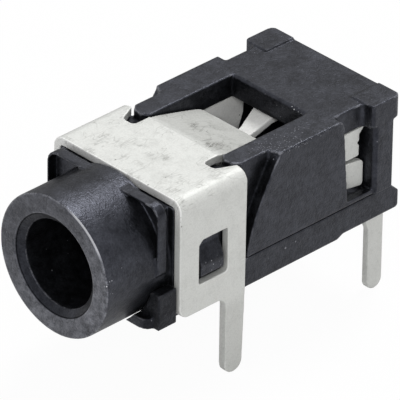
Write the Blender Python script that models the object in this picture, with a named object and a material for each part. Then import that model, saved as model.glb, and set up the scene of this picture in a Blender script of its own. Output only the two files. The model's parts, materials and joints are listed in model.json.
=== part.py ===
# Right-angle audio jack socket for a 3.5 mm plug, with a folded sheet yoke and through-hole pins.
# The model is in metres. +X is the right side, +Y runs from the plug mouth to the rear, +Z is up.
# Its origin is on the seat plane, midway between the solder pins of the yoke.
# All sizes below are in millimetres: Y from a datum in the front flange, Z from the plug axis.

import math

import bmesh
import bpy

MM = 0.001

# Clearance between neighbouring pieces, and how far shapes that join run into each other
FIT_GAP = 0.05
OVERLAP = 0.1

# Height of the plug axis over the seat plane
AXIS_HEIGHT = 2.35

# Barrel and plug bore
BARREL_DIAMETER = 6.0
BARREL_LENGTH = 2.54
BARREL_EDGE = 0.06
BORE_DIAMETER = 3.7
MOUTH_FLARE = 0.32
MOUTH_DEPTH = 0.28
MOUTH_STEP = 0.06
ROUND_SIDES = 96

# Square flange behind the barrel, pocketed beside it, and the neck between flange and yoke
FLANGE_FRONT_Y = -0.36
FLANGE_THICKNESS = 0.48
FLANGE_INSET = 0.08
FLANGE_DROP = 0.15
FLANGE_LOW = -0.2
FLANGE_CORNER = 0.55
FLANGE_FOOT_CORNER = 0.15
FLANGE_RIM = 0.1
POCKET_DEPTH = 0.38
POCKET_LOW = 0.3
NECK_LENGTH = 0.28
NECK_INSET = 0.3

# Yoke of tinned sheet, folded over the housing
SHEET = 0.35
YOKE_WIDTH = 7.06
YOKE_LENGTH = 3.54
YOKE_BEND = 0.5
LEG_LIFT = 0.07
LEG_CORNER = 0.5
LEG_FILLET = 0.45
PIN_LENGTH = 3.52
YOKE_PIN_WIDTH = 1.0
YOKE_PIN_TAPER = 0.1
YOKE_PIN_INSET = 0.06
PIN_END_FLAT = 0.02

# Windows in the yoke's legs, and the snap ramps of the housing that lock into them
LEG_WINDOW_SETBACK = 1.02
LEG_WINDOW_LENGTH = 1.53
LEG_WINDOW_LOW = -1.08
LEG_WINDOW_TOP = 0.88
LEG_WINDOW_CORNER = 0.12
LEG_WINDOW_CHAMFER = 0.2
RAMP_PROUD = 0.36
RAMP_SIDE_GAP = 0.15
RAMP_LOW_GAP = 0.27
RAMP_STEP = 0.55
RAMP_RUN = 0.75

# Sprung tongue of the yoke, between two slots that flare outwards to the rear
TONGUE_WIDTH = 3.84
TONGUE_LENGTH = 3.64
TONGUE_FLAT = 0.6
TONGUE_DROP = 0.75
TONGUE_CORNER = 0.3
TONGUE_EASE = 0.15
TONGUE_GAP = 0.1
SLOT_LENGTH = 0.86
SLOT_WIDTH = 0.62
SLOT_ROUND = 0.22
SLOT_REAR_RIM = 0.27
SLOT_REAR_ROUND = 0.1

# Housing behind the flange, front to rear
CORE_CLEAR = 0.06
CORE_WALL = 0.8
RECESS_LENGTH = 1.55
PANEL_STEP_SLANT = 0.2
PANEL_LENGTH = 3.52
OPENING_LENGTH = 1.79
POST_THICKNESS = 1.02
REAR_WALL = 0.6

# Widths and heights of the housing
PANEL_INSET = 0.08
SIDE_WALL = 0.4
ARM_INSET = 0.21
ARM_NOSE = 0.17
ARM_NOSE_CHAMFER = 0.3
ARM_NOSE_SLOPE = 0.04
ARM_SHOULDER = 0.25
ARM_ROUND = 0.1
WAIST_INSET = 0.45
WAIST_FILLET = 0.2
PANEL_CHAMFER = 0.17
PANEL_LEAN = 0.3
BODY_TOP = 3.0
ROOF = 1.0
PARTING = -1.04
SLANT_BOW = 0.22
SLANT_CURVE = 1.3
WINDOW_REAR_WALL = 0.54
WINDOW_CHAMFER = 0.1
POST_CHAMFER = 0.15
RAIL_HEIGHT = 0.2
INNER_WALL = 0.3

# Lip across the rear of the roof, with a faint raised ear at each end
LIP_PROUD = 0.11
LIP_OVERHANG_FRONT = 0.16
LIP_OVERHANG_REAR = 0.35
LIP_RISE = 0.08
LIP_CORNER = 0.15
LIP_REAR_CORNER = 0.25
EAR_HEIGHT = 0.06
EAR_LENGTH = 1.2

# Sleeve block round the bore inside the base cover
SLEEVE_SIDE = 0.75
SLEEVE_FLOOR = 0.2

# Base cover under the housing
BASE_INSET = 0.11
BASE_LEAD = 0.24
BASE_TAIL = 0.17
BASE_FLOOR = 0.45
BASE_EAR = 0.24
BASE_LEDGE = 0.4
BASE_LEDGE_DROP = 0.38
BASE_STEP = 0.15
BASE_STEP_RUN = 0.3
BASE_REAR_ROUND = 0.15
PLINTH_LEAD = 0.35
PLINTH_INSET = 0.28
PLINTH_HEIGHT = 0.45
PLINTH_CORNER = 0.42

# Contacts of tinned strip
STRIP = 0.3
CONTACT_SETBACK = 0.4
TIP_PIN_SETBACK = 0.34
TIP_PIN_WIDTH = 0.82
TIP_SHOULDER = 0.15
TIP_SHOULDER_DROP = 0.3
TIP_SHOULDER_SLOPE = 0.35
TIP_SPINE = 0.8
TIP_FOOT_GAP = 0.1
TIP_CORNER = 0.2
TIP_TAB_LOW = 0.71
TIP_TAB_HOOK = 0.26
TIP_TAB_NOTCH = 0.12
TIP_TAB_NOTCH_Z = 1.3
TIP_TAB_CORNER = 0.06
TIP_SPRING_LOW = -0.75
TIP_SPRING_TOP = 0.42
TIP_SPRING_LEAD = 0.7
TIP_SPRING_APEX = 2.5
TIP_SPRING_CREST = 0.25
TIP_SPRING_CREST_DROP = 0.1
TIP_SPRING_BOW = 1.08
TIP_SPRING_END = 0.9
TIP_SPRING_FLARE = 0.2
TIP_SPRING_CORNER = 0.16
RING_PLATE_INSET = 0.18
RING_PIN_SETBACK = 1.05
RING_PIN_WIDTH = 0.8
RING_BRIDGE = 1.1
RING_PLATE_TAIL = 1.95
RING_PLATE_STEP = 0.3
RING_PLATE_STEP_LOW = 0.1
RING_PLATE_STEP_TOP = 0.9
RING_PLATE_CORNER = 0.2
RING_LEAF_NARROW = 0.67
RING_LEAF_WIDE = 1.05
RING_LEAF_DIP = 0.28
RING_LEAF_ROOT = 0.4
RING_LEAF_BEND = 0.1
RING_LEAF_DIP_FRONT = 0.55
RING_LEAF_DIP_REAR = 0.8
RING_LEAF_TAPER = 0.9
RING_LEAF_RISE = 2.0
RING_LEAF_LENGTH = 2.6

# Stations along Y, worked out from the sizes above
FLANGE_REAR_Y = FLANGE_FRONT_Y + FLANGE_THICKNESS
BARREL_FRONT_Y = FLANGE_FRONT_Y - BARREL_LENGTH
YOKE_FRONT_Y = FLANGE_REAR_Y + NECK_LENGTH
YOKE_REAR_Y = YOKE_FRONT_Y + YOKE_LENGTH
CORE_REAR_Y = YOKE_REAR_Y + CORE_CLEAR
CAVITY_FRONT_Y = CORE_REAR_Y - CORE_WALL
PANEL_STEP_Y = CORE_REAR_Y + RECESS_LENGTH
PANEL_FRONT_Y = PANEL_STEP_Y + PANEL_STEP_SLANT
PANEL_REAR_Y = PANEL_STEP_Y + PANEL_LENGTH
WINDOW_REAR_Y = PANEL_REAR_Y - WINDOW_REAR_WALL
POST_FRONT_Y = PANEL_REAR_Y + OPENING_LENGTH
POST_REAR_Y = POST_FRONT_Y + POST_THICKNESS
LIP_FRONT_Y = POST_FRONT_Y - LIP_OVERHANG_FRONT
LIP_REAR_Y = POST_REAR_Y + LIP_OVERHANG_REAR
BASE_FRONT_Y = FLANGE_FRONT_Y - BASE_LEAD
BASE_REAR_Y = LIP_REAR_Y + BASE_TAIL
BASE_LEDGE_Y = BASE_REAR_Y - BASE_LEDGE
TONGUE_ROOT_Y = YOKE_REAR_Y - SLOT_LENGTH
TONGUE_END_Y = TONGUE_ROOT_Y + TONGUE_LENGTH
TIP_PIN_FRONT_Y = POST_FRONT_Y + TIP_PIN_SETBACK
TIP_PIN_REAR_Y = TIP_PIN_FRONT_Y + TIP_PIN_WIDTH
RING_PIN_FRONT_Y = PANEL_STEP_Y + RING_PIN_SETBACK
RING_PIN_REAR_Y = RING_PIN_FRONT_Y + RING_PIN_WIDTH

# Half widths, and heights over the plug axis
YOKE_SIDE = YOKE_WIDTH / 2
YOKE_INSIDE = YOKE_SIDE - SHEET
CORE_SIDE = YOKE_INSIDE - FIT_GAP
FLANGE_SIDE = YOKE_INSIDE - FLANGE_INSET
BODY_SIDE = YOKE_SIDE - PANEL_INSET
LIP_SIDE = BODY_SIDE + LIP_PROUD
CAVITY_SIDE = BODY_SIDE - SIDE_WALL
ARM_SIDE = YOKE_INSIDE - ARM_INSET
WAIST_SIDE = BODY_SIDE - WAIST_INSET
WINDOW_SIDE = TONGUE_WIDTH / 2 + TONGUE_GAP
BASE_SIDE = YOKE_SIDE - BASE_INSET
SLEEVE_SIDE_X = BORE_DIAMETER / 2 + SLEEVE_SIDE
SLEEVE_LOW = -BORE_DIAMETER / 2 - SLEEVE_FLOOR
UNDER_ROOF = BODY_TOP - ROOF
BASE_BOTTOM = -AXIS_HEIGHT
BASE_TOP = PARTING - FIT_GAP / 2
HOUSING_BOTTOM = PARTING + FIT_GAP / 2
TRAY_FLOOR = BASE_BOTTOM + BASE_FLOOR
LEG_BOTTOM = BASE_BOTTOM + LEG_LIFT
PIN_TIP = BASE_BOTTOM - PIN_LENGTH
TONGUE_UNDERSIDE = BODY_TOP - TONGUE_DROP - SHEET
TIP_PLATE_X = CAVITY_SIDE - FIT_GAP
RING_PLATE_X = -WINDOW_SIDE - RING_PLATE_INSET

# The frame's origin along Y: the middle of the yoke's solder pins
YOKE_PIN_REAR_Y = YOKE_REAR_Y - YOKE_PIN_INSET
YOKE_PIN_FRONT_Y = YOKE_PIN_REAR_Y - YOKE_PIN_WIDTH
FRAME_Y = (YOKE_PIN_FRONT_Y + YOKE_PIN_REAR_Y - YOKE_PIN_TAPER) / 2


# Outlines
def fillet(corners, steps=4):
    """Round each (a, b, radius) corner of a closed outline with a tangent arc."""
    points = []
    count = len(corners)
    for index, (a, b, radius) in enumerate(corners):
        if radius == 0:
            points.append((a, b))
            continue
        before = corners[index - 1]
        after = corners[(index + 1) % count]
        to_before = (before[0] - a, before[1] - b)
        to_after = (after[0] - a, after[1] - b)
        length_before = math.hypot(*to_before)
        length_after = math.hypot(*to_after)
        u = (to_before[0] / length_before, to_before[1] / length_before)
        v = (to_after[0] / length_after, to_after[1] / length_after)
        half = math.acos(max(-1.0, min(1.0, u[0] * v[0] + u[1] * v[1]))) / 2
        reach = radius / math.tan(half)
        middle = (u[0] + v[0], u[1] + v[1])
        scale = radius / math.sin(half) / math.hypot(*middle)
        centre = (a + middle[0] * scale, b + middle[1] * scale)
        start = math.atan2(b + u[1] * reach - centre[1], a + u[0] * reach - centre[0])
        end = math.atan2(b + v[1] * reach - centre[1], a + v[0] * reach - centre[0])
        sweep = (end - start + math.pi) % (2 * math.pi) - math.pi
        for step in range(steps + 1):
            angle = start + sweep * step / steps
            points.append((centre[0] + radius * math.cos(angle), centre[1] + radius * math.sin(angle)))
    return points


def ribbon(path, thickness):
    """Offset an open path to its right by a sheet thickness and close the outline."""
    inner = []
    for index, (a, b) in enumerate(path):
        before = path[max(index - 1, 0)]
        after = path[min(index + 1, len(path) - 1)]
        directions = []
        for first, second in ((before, (a, b)), ((a, b), after)):
            length = math.hypot(second[0] - first[0], second[1] - first[1])
            if length > 0:
                directions.append(((second[0] - first[0]) / length, (second[1] - first[1]) / length))
        mean = (sum(d[0] for d in directions), sum(d[1] for d in directions))
        size = math.hypot(*mean)
        mean = (mean[0] / size, mean[1] / size)
        mitre = thickness / (mean[0] * directions[0][0] + mean[1] * directions[0][1])
        inner.append((a + mean[1] * mitre, b - mean[0] * mitre))
    return path + inner[::-1]


# Solids
def prism(outline, axis, low, high, name="tool"):
    """Extrude a closed outline along an axis: (y, z) along x, (x, z) along y, (x, y) along z."""
    mesh = bmesh.new()
    ring = []
    for a, b in outline:
        point = {"x": (low, a, b), "y": (a, low, b), "z": (a, b, low)}[axis]
        ring.append(mesh.verts.new([value * MM for value in point]))
    face = mesh.faces.new(ring)
    extruded = bmesh.ops.extrude_face_region(mesh, geom=[face])
    moved = [item for item in extruded["geom"] if isinstance(item, bmesh.types.BMVert)]
    index = "xyz".index(axis)
    for vert in moved:
        vert.co[index] = high * MM
    bmesh.ops.recalc_face_normals(mesh, faces=mesh.faces)
    return finish(mesh, name)


def box(x, y, z, name="tool"):
    """Make a block from three (low, high) pairs."""
    outline = [(x[0], y[0]), (x[1], y[0]), (x[1], y[1]), (x[0], y[1])]
    return prism(outline, "z", z[0], z[1], name)


def turned(profile, name="tool"):
    """Spin a (y, radius) profile about the plug axis, closing both ends."""
    mesh = bmesh.new()
    rings = []
    for y, radius in profile:
        ring = []
        for side in range(ROUND_SIDES):
            angle = 2 * math.pi * side / ROUND_SIDES
            point = (radius * math.cos(angle) * MM, y * MM, radius * math.sin(angle) * MM)
            ring.append(mesh.verts.new(point))
        rings.append(ring)
    for first, second in zip(rings, rings[1:]):
        for side in range(ROUND_SIDES):
            after = (side + 1) % ROUND_SIDES
            mesh.faces.new((first[side], first[after], second[after], second[side]))
    mesh.faces.new(rings[0])
    mesh.faces.new(rings[-1])
    bmesh.ops.recalc_face_normals(mesh, faces=mesh.faces)
    return finish(mesh, name)


def finish(mesh, name):
    """Put an edit mesh into a new scene object."""
    data = bpy.data.meshes.new(name)
    mesh.to_mesh(data)
    mesh.free()
    item = bpy.data.objects.new(name, data)
    bpy.context.scene.collection.objects.link(item)
    return item


def combine(target, tool, operation):
    """Apply one exact Boolean to the target and drop the tool."""
    modifier = target.modifiers.new(operation.lower(), "BOOLEAN")
    modifier.operation = operation
    modifier.solver = "EXACT"
    modifier.object = tool
    bpy.context.view_layer.objects.active = target
    bpy.ops.object.modifier_apply(modifier=modifier.name)
    bpy.data.objects.remove(tool, do_unlink=True)


def add(target, *tools):
    for tool in tools:
        combine(target, tool, "UNION")


def cut(target, *tools):
    for tool in tools:
        combine(target, tool, "DIFFERENCE")


def keep(target, tool):
    combine(target, tool, "INTERSECT")


def span(side, near, far):
    """Give the (low, high) pair between two distances on one side of the middle."""
    return tuple(sorted((side * near, side * far)))


# Housing
def make_housing():
    """Moulded housing: barrel, flange, core under the yoke and the rear shell, with its hollows."""
    core_top = BODY_TOP - SHEET - FIT_GAP
    housing = box((-CORE_SIDE, CORE_SIDE), (YOKE_FRONT_Y, CORE_REAR_Y), (HOUSING_BOTTOM, core_top), "housing")
    neck = CORE_SIDE - NECK_INSET
    add(housing, box((-neck, neck), (FLANGE_REAR_Y - OVERLAP, YOKE_FRONT_Y + OVERLAP),
                     (HOUSING_BOTTOM, core_top - FIT_GAP)))
    add_front(housing)
    add_side_walls(housing)
    add_roof(housing)
    add_rear(housing)
    cut_hollows(housing)
    add_inner_wall(housing)
    add_snap_ramps(housing)
    return housing


def add_front(housing):
    """Add the pocketed flange, the barrel that meets the yoke, and the sleeve block behind it."""
    barrel = BARREL_DIAMETER / 2
    top = BODY_TOP - FLANGE_DROP
    plate = fillet([(-FLANGE_SIDE, FLANGE_LOW, FLANGE_FOOT_CORNER),
                    (FLANGE_SIDE, FLANGE_LOW, FLANGE_FOOT_CORNER),
                    (FLANGE_SIDE, top, FLANGE_CORNER), (-FLANGE_SIDE, top, FLANGE_CORNER)])
    add(housing, prism(plate, "y", FLANGE_FRONT_Y, FLANGE_REAR_Y))
    inside = FLANGE_SIDE - FLANGE_RIM
    corner = FLANGE_CORNER - FLANGE_RIM
    pocket = fillet([(-inside, POCKET_LOW, 0), (inside, POCKET_LOW, 0),
                     (inside, top - FLANGE_RIM, corner), (-inside, top - FLANGE_RIM, corner)])
    cut(housing, prism(pocket, "y", FLANGE_FRONT_Y - OVERLAP, FLANGE_FRONT_Y + POCKET_DEPTH))
    halfway = BARREL_EDGE * (1 - math.cos(math.pi / 4))
    add(housing, turned([(BARREL_FRONT_Y, barrel - BARREL_EDGE), (BARREL_FRONT_Y + halfway, barrel - halfway),
                         (BARREL_FRONT_Y + BARREL_EDGE, barrel), (YOKE_FRONT_Y - FIT_GAP, barrel)]))
    add(housing, box((-SLEEVE_SIDE_X, SLEEVE_SIDE_X), (FLANGE_REAR_Y, CAVITY_FRONT_Y), (SLEEVE_LOW, 0)))


def add_side_walls(housing):
    """Add walls recessed behind the yoke, then stepping out at a slanted, bowed edge."""
    add(housing, box((-ARM_SIDE, ARM_SIDE), (CORE_REAR_Y - OVERLAP, PANEL_STEP_Y + OVERLAP),
                     (HOUSING_BOTTOM, UNDER_ROOF + OVERLAP)))
    steps = 8
    slant = [(PANEL_FRONT_Y + OVERLAP, BODY_TOP)]
    for step in range(1, steps + 1):
        part = step / steps
        bow = SLANT_BOW * math.sin(math.pi * part ** SLANT_CURVE)
        slant.append((PANEL_FRONT_Y + (CORE_REAR_Y + FIT_GAP - PANEL_FRONT_Y) * part - bow,
                      BODY_TOP + (HOUSING_BOTTOM - BODY_TOP) * part))
    rear = PANEL_REAR_Y + PANEL_CHAMFER
    slant += [(rear + PANEL_LEAN, HOUSING_BOTTOM), (rear, BODY_TOP - PANEL_CHAMFER), (PANEL_REAR_Y, BODY_TOP)]
    inside = ARM_SIDE - SIDE_WALL
    for side in (-1, 1):
        add(housing, prism(slant, "x", *span(side, inside, BODY_SIDE)))


def add_roof(housing):
    """Add the roof: two arms beside the window, full width over the panels, waisted to the rear."""
    nose = CORE_REAR_Y - ARM_NOSE
    flare = WAIST_SIDE + 2 * WAIST_FILLET
    half = [(WINDOW_SIDE, CORE_REAR_Y + FIT_GAP, 0), (WINDOW_SIDE + ARM_NOSE_CHAMFER, nose, ARM_ROUND),
            (ARM_SIDE - ARM_SHOULDER, nose + ARM_NOSE_SLOPE, ARM_ROUND),
            (ARM_SIDE, CORE_REAR_Y + ARM_NOSE, ARM_ROUND), (ARM_SIDE, PANEL_STEP_Y, ARM_ROUND),
            (BODY_SIDE, PANEL_FRONT_Y, ARM_ROUND), (BODY_SIDE, PANEL_REAR_Y, 0),
            (WAIST_SIDE, PANEL_REAR_Y, 0), (WAIST_SIDE, LIP_FRONT_Y, WAIST_FILLET),
            (flare, LIP_FRONT_Y, 0), (flare, LIP_FRONT_Y + OVERLAP, 0)]
    mirrored = [(-x, y, radius) for x, y, radius in reversed(half)]
    notch = [(-WINDOW_SIDE, WINDOW_REAR_Y, 0), (WINDOW_SIDE, WINDOW_REAR_Y, 0)]
    add(housing, prism(fillet(half + mirrored + notch), "z", UNDER_ROOF, BODY_TOP))


def add_rear(housing):
    """Add the lip with its ears, the rear wall with corner posts, and a rail under each opening."""
    plan = fillet([(-LIP_SIDE, LIP_FRONT_Y, LIP_CORNER), (LIP_SIDE, LIP_FRONT_Y, LIP_CORNER),
                   (LIP_SIDE, LIP_REAR_Y, LIP_REAR_CORNER), (-LIP_SIDE, LIP_REAR_Y, LIP_REAR_CORNER)])
    add(housing, prism(plan, "z", UNDER_ROOF + LIP_RISE, BODY_TOP))
    ear_inside = LIP_SIDE - EAR_LENGTH
    for side in (-1, 1):
        ear = fillet([(side * ear_inside, LIP_FRONT_Y, 0), (side * LIP_SIDE, LIP_FRONT_Y, LIP_CORNER),
                      (side * LIP_SIDE, LIP_REAR_Y, LIP_REAR_CORNER), (side * ear_inside, LIP_REAR_Y, 0)])
        add(housing, prism(ear, "z", BODY_TOP - OVERLAP, BODY_TOP + EAR_HEIGHT))

    inside = ARM_SIDE - SIDE_WALL
    wall = POST_REAR_Y - REAR_WALL
    chamfer = POST_FRONT_Y + POST_CHAMFER
    corner = LIP_SIDE - POST_CHAMFER
    post = [(-LIP_SIDE, chamfer), (-corner, POST_FRONT_Y), (-inside, POST_FRONT_Y), (-inside, wall),
            (inside, wall), (inside, POST_FRONT_Y), (corner, POST_FRONT_Y), (LIP_SIDE, chamfer),
            (LIP_SIDE, POST_REAR_Y), (-LIP_SIDE, POST_REAR_Y)]
    add(housing, prism(post, "z", HOUSING_BOTTOM, UNDER_ROOF + 2 * OVERLAP))
    for side in (-1, 1):
        add(housing, box(span(side, CAVITY_SIDE, BODY_SIDE),
                         (PANEL_REAR_Y - OVERLAP, POST_FRONT_Y + 2 * OVERLAP),
                         (HOUSING_BOTTOM, HOUSING_BOTTOM + RAIL_HEIGHT)))


def cut_hollows(housing):
    """Cut the plug bore and its lead-in, the contact cavity and the window above it."""
    bore = BORE_DIAMETER / 2
    mouth = bore + MOUTH_FLARE
    cut(housing, turned([(BARREL_FRONT_Y - OVERLAP, mouth), (BARREL_FRONT_Y + MOUTH_STEP, mouth),
                         (BARREL_FRONT_Y + MOUTH_DEPTH, bore), (CAVITY_FRONT_Y + OVERLAP, bore)]))
    inside = ARM_SIDE - SIDE_WALL
    below = SLEEVE_LOW - 1
    cut(housing, box((-inside, inside), (CAVITY_FRONT_Y, POST_REAR_Y - REAR_WALL), (below, UNDER_ROOF)))
    cut(housing, box((-CAVITY_SIDE, CAVITY_SIDE), (PANEL_STEP_Y + INNER_WALL, POST_FRONT_Y),
                     (below, UNDER_ROOF)))
    cut(housing, box((-WINDOW_SIDE, WINDOW_SIDE), (CORE_REAR_Y - ARM_NOSE, WINDOW_REAR_Y),
                     (UNDER_ROOF - OVERLAP, BODY_TOP + 1)))
    front = WINDOW_REAR_Y - OVERLAP
    rear = WINDOW_REAR_Y + WINDOW_CHAMFER
    over = BODY_TOP + OVERLAP
    cut(housing, prism([(front, over), (front, BODY_TOP - WINDOW_CHAMFER),
                        (WINDOW_REAR_Y, BODY_TOP - WINDOW_CHAMFER), (rear, BODY_TOP), (rear, over)],
                       "x", -WINDOW_SIDE, WINDOW_SIDE))


def add_inner_wall(housing):
    """Close the left opening with a wall that stands flush under the roof's waist."""
    inside = WAIST_SIDE - INNER_WALL
    height = (HOUSING_BOTTOM, UNDER_ROOF + OVERLAP)
    add(housing, box((-CAVITY_SIDE - OVERLAP, -inside), (PANEL_REAR_Y - SIDE_WALL, PANEL_REAR_Y), height))
    add(housing, box((-WAIST_SIDE, -inside), (PANEL_REAR_Y - OVERLAP, POST_FRONT_Y + OVERLAP), height))


def add_snap_ramps(housing):
    """Add the ramps that lock into the windows of the yoke's legs."""
    low = LEG_WINDOW_LOW + RAMP_LOW_GAP
    step = low + RAMP_STEP
    high = step + RAMP_RUN
    front = YOKE_FRONT_Y + LEG_WINDOW_SETBACK
    for side in (-1, 1):
        inside = side * (CORE_SIDE - OVERLAP)
        face = side * (CORE_SIDE + RAMP_PROUD)
        ramp = [(inside, low), (face, low), (face, step), (side * CORE_SIDE, high), (inside, high)]
        add(housing, prism(ramp, "y", front + RAMP_SIDE_GAP, front + LEG_WINDOW_LENGTH - RAMP_SIDE_GAP))


# Base cover
def make_base_cover():
    """Moulded base: a tray with leg pockets, a seat for the sleeve block and slots for the pins."""
    front_top = PARTING + BASE_EAR
    pocket_front = YOKE_FRONT_Y - FIT_GAP
    side_view = fillet([(BASE_FRONT_Y, BASE_BOTTOM, 0), (PANEL_REAR_Y, BASE_BOTTOM, 0),
                        (PANEL_REAR_Y + BASE_STEP_RUN, BASE_BOTTOM + BASE_STEP, 0),
                        (BASE_REAR_Y, BASE_BOTTOM + BASE_STEP, BASE_REAR_ROUND),
                        (BASE_REAR_Y, BASE_TOP - BASE_LEDGE_DROP, 0), (BASE_LEDGE_Y, BASE_TOP, 0),
                        (pocket_front, BASE_TOP, 0), (pocket_front, front_top, 0),
                        (BASE_FRONT_Y, front_top, 0)])
    base = prism(side_view, "x", -BASE_SIDE, BASE_SIDE, "base_cover")

    # Low plinth that runs forward on both sides of the barrel
    plinth = BASE_SIDE - PLINTH_INSET
    lead = BASE_FRONT_Y - PLINTH_LEAD
    plan = fillet([(-plinth, BASE_FRONT_Y + OVERLAP, 0), (-plinth, lead, PLINTH_CORNER),
                   (plinth, lead, PLINTH_CORNER), (plinth, BASE_FRONT_Y + OVERLAP, 0)])
    add(base, prism(plan, "z", BASE_BOTTOM, BASE_BOTTOM + PLINTH_HEIGHT))

    # Hollow tray, and the deeper seat for the sleeve block
    over = front_top + 1
    sleeve = SLEEVE_SIDE_X + FIT_GAP
    cut(base, box((-CAVITY_SIDE, CAVITY_SIDE), (CORE_REAR_Y - CORE_WALL / 2, TIP_PIN_REAR_Y + FIT_GAP),
                  (TRAY_FLOOR, over)))
    cut(base, box((-sleeve, sleeve), (FLANGE_REAR_Y - FIT_GAP, CORE_REAR_Y - CORE_WALL / 2),
                  (SLEEVE_LOW - FIT_GAP, over)))

    # Front bay: the barrel passes through it, the flange and neck stand over it
    cradle = BARREL_DIAMETER / 2 + FIT_GAP
    cut(base, turned([(BASE_FRONT_Y - PLINTH_LEAD - OVERLAP, cradle), (YOKE_FRONT_Y, cradle)]))
    neck = CORE_SIDE - NECK_INSET + FIT_GAP
    cut(base, box((-neck, neck), (0, YOKE_FRONT_Y + OVERLAP), (BASE_TOP, over)))

    # Pockets for the yoke's legs
    leg = YOKE_INSIDE - 2 * FIT_GAP
    for side in (-1, 1):
        cut(base, box(span(side, leg, BASE_SIDE + 1), (pocket_front, YOKE_REAR_Y + FIT_GAP),
                      (BASE_BOTTOM - 1, over)))

    # Slots for the contact pins
    for face, front, rear in ((TIP_PLATE_X, TIP_PIN_FRONT_Y - TIP_SHOULDER, TIP_PIN_REAR_Y),
                              (RING_PLATE_X, RING_PIN_FRONT_Y, RING_PIN_REAR_Y)):
        cut(base, box((face - STRIP - FIT_GAP, face + FIT_GAP), (front - FIT_GAP, rear + FIT_GAP),
                      (BASE_BOTTOM - 1, BASE_TOP)))
    return base


# Ground yoke
def make_ground_yoke():
    """One folded stamping: a top plate with a sprung tongue, and two windowed legs with pins."""
    inside_top = BODY_TOP - SHEET
    inside_bend = YOKE_BEND - SHEET
    section = fillet([(-YOKE_SIDE, PIN_TIP, 0), (-YOKE_SIDE, BODY_TOP, YOKE_BEND),
                      (YOKE_SIDE, BODY_TOP, YOKE_BEND), (YOKE_SIDE, PIN_TIP, 0),
                      (YOKE_INSIDE, PIN_TIP, 0), (YOKE_INSIDE, inside_top, inside_bend),
                      (-YOKE_INSIDE, inside_top, inside_bend), (-YOKE_INSIDE, PIN_TIP, 0)], 6)
    yoke = prism(section, "y", YOKE_FRONT_Y, YOKE_REAR_Y, "ground_yoke")
    wide = YOKE_SIDE + 1

    # Leg outline with its round-ended, slightly tapered pin
    tip_rear = YOKE_PIN_REAR_Y - YOKE_PIN_TAPER
    tip = (tip_rear - YOKE_PIN_FRONT_Y - PIN_END_FLAT) / 2
    leg = fillet([(YOKE_FRONT_Y, BODY_TOP, 0), (YOKE_FRONT_Y, LEG_BOTTOM, LEG_CORNER),
                  (YOKE_PIN_FRONT_Y, LEG_BOTTOM, LEG_FILLET), (YOKE_PIN_FRONT_Y, PIN_TIP, tip),
                  (tip_rear, PIN_TIP, tip), (YOKE_REAR_Y - YOKE_PIN_INSET / 2, LEG_BOTTOM, 0),
                  (YOKE_REAR_Y, BODY_TOP, 0)], 6)
    keep(yoke, prism(leg, "x", -wide, wide))

    # Snap windows in both legs
    front = YOKE_FRONT_Y + LEG_WINDOW_SETBACK
    rear = front + LEG_WINDOW_LENGTH
    opening = fillet([(front, LEG_WINDOW_LOW, LEG_WINDOW_CORNER), (rear, LEG_WINDOW_LOW, LEG_WINDOW_CORNER),
                      (rear, LEG_WINDOW_TOP, LEG_WINDOW_CORNER),
                      (front + LEG_WINDOW_CHAMFER, LEG_WINDOW_TOP, 0),
                      (front, LEG_WINDOW_TOP - LEG_WINDOW_CHAMFER, 0)])
    cut(yoke, prism(opening, "x", -wide, wide))

    # Slots that free the tongue from the plate, flared outwards towards the rear
    tongue = TONGUE_WIDTH / 2
    behind = YOKE_REAR_Y + 1
    mouth = YOKE_INSIDE - SLOT_REAR_RIM
    for side in (-1, 1):
        slot = fillet([(side * tongue, TONGUE_ROOT_Y, SLOT_ROUND), (side * tongue, behind, 0),
                       (side * mouth, behind, 0), (side * mouth, YOKE_REAR_Y, SLOT_REAR_ROUND),
                       (side * (tongue + SLOT_WIDTH), TONGUE_ROOT_Y + FIT_GAP, SLOT_ROUND)])
        cut(yoke, prism(slot, "z", 0, BODY_TOP + 1))

    # Tongue sloping down into the housing's window, with rounded rear corners
    bend = TONGUE_ROOT_Y + TONGUE_FLAT
    steps = 12
    path = [(TONGUE_ROOT_Y + 2 * OVERLAP, BODY_TOP), (bend, BODY_TOP)]
    for step in range(1, steps + 1):
        part = step / steps
        eased = part ** 2 * (1 + TONGUE_EASE) / (part + TONGUE_EASE)
        path.append((bend + (TONGUE_END_Y - bend) * part, BODY_TOP - TONGUE_DROP * eased))
    strip = prism(ribbon(path, SHEET), "x", -tongue, tongue)
    plan = fillet([(-tongue, TONGUE_ROOT_Y, 0), (tongue, TONGUE_ROOT_Y, 0),
                   (tongue, TONGUE_END_Y, TONGUE_CORNER), (-tongue, TONGUE_END_Y, TONGUE_CORNER)])
    keep(strip, prism(plan, "z", 0, BODY_TOP + 1))
    add(yoke, strip)
    return yoke


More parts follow.
